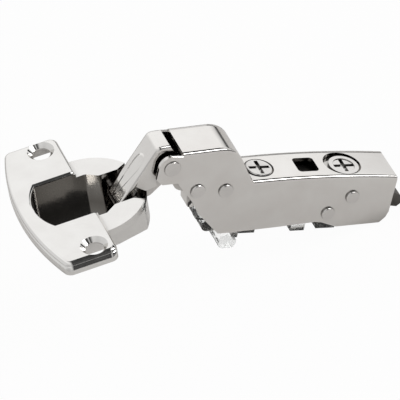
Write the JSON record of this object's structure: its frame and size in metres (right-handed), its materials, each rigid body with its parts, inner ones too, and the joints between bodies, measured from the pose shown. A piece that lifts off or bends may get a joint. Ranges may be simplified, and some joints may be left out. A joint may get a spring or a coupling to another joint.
{
  "type": "concealed hinge",
  "caption": "Concealed cabinet hinge: a cup with a screw flange, a crossed pair of links, and a long channel arm with adjusting screws and a damper.",
  "frame": {"origin": "centre of the 35 mm cup, on the top face of its screw flange", "axes": "+Z out of the door through the cup mouth, +X from the cup to the arm, +Y along the hinge pins"},
  "size_m": [0.1169, 0.0574, 0.0531],
  "materials": {
    "plated_zinc": "satin nickel plating on cast zinc",
    "plated_steel": "satin nickel plating on sheet steel",
    "steel_pin": "plated, smooth",
    "plated_screw": "plated, satin",
    "dark_steel": "dark plating",
    "spring_steel": "oiled wire",
    "clear_plastic": "milky translucent",
    "dark_plastic": "moulded",
    "seal_rubber": "matt"
  },
  "bodies": {
    "cup": {"hinge_cup": "plated_zinc", "outer_link_cup_pin": "steel_pin", "inner_link_cup_pin": "steel_pin"},
    "outer_link": {"outer_link": "plated_steel"},
    "inner_link": {"inner_link": "plated_steel"},
    "arm": {"hinge_arm": "plated_steel", "nose_pin": "steel_pin", "inner_link_arm_pin": "steel_pin", "spring_pin": "steel_pin", "hook_pin": "steel_pin", "lever_pin": "steel_pin", "closing_spring": "spring_steel", "damper_housing": "clear_plastic", "damper_cap": "dark_plastic", "lever_spring": "spring_steel"},
    "damper_piston": {"damper_piston": "dark_plastic", "piston_seal": "seal_rubber", "damper_spring": "spring_steel"},
    "side_screw": {"side_screw": "plated_screw"},
    "depth_screw": {"depth_screw": "plated_screw"},
    "rail": {"adapter_rail": "dark_steel"},
    "release_lever": {"release_lever": "dark_steel"}
  },
  "joints": [
    {"name": "door_swing", "type": "hinge", "parent": "cup", "child": "outer_link", "pos_m": [0.0095, 0, -0.0072], "axis": [0, -1, 0], "range_deg": [0, 131.1]},
    {"name": "arm_swing", "type": "hinge", "parent": "outer_link", "child": "arm", "pos_m": [0.0251, 0, 0.00355], "axis": [0, -1, 0], "range_deg": [-21.2, 0]},
    {"name": "inner_link_swing", "type": "hinge", "parent": "cup", "child": "inner_link", "pos_m": [0.0134, 0, -0.0047], "axis": [0, -1, 0], "range_deg": [0, 148.5]},
    {"name": "damper_stroke", "type": "slide", "parent": "arm", "child": "damper_piston", "axis": [0.9397, 0, -0.342], "range_m": [0, 0.0025]},
    {"name": "side_adjust", "type": "hinge", "parent": "arm", "child": "side_screw", "pos_m": [0.05279, 0, -0.01393], "axis": [0.342, 0, 0.9397], "continuous": true},
    {"name": "depth_adjust", "type": "hinge", "parent": "arm", "child": "depth_screw", "pos_m": [0.07909, 0, -0.02355], "axis": [0.342, 0, 0.9397], "range_deg": [-60, 60]},
    {"name": "rail_slide", "type": "slide", "parent": "arm", "child": "rail", "axis": [0.9397, 0, -0.342], "range_m": [-0.00138, 0.00138]},
    {"name": "lever_press", "type": "hinge", "parent": "arm", "child": "release_lever", "pos_m": [0.07849, 0, -0.02958], "axis": [0, -1, 0], "range_deg": [0, 12], "stiffness_Nm_per_rad": 0.05, "springref_deg": -17.19}
  ],
  "couplings": [
    {"joint": "arm_swing", "follows": "door_swing", "ratio": -0.16124},
    {"joint": "inner_link_swing", "follows": "door_swing", "ratio": 1.1318},
    {"joint": "damper_stroke", "follows": "door_swing", "m_per_rad": 0.001092},
    {"joint": "depth_adjust", "follows": "rail_slide", "rad_per_m": -753.58}
  ]
}
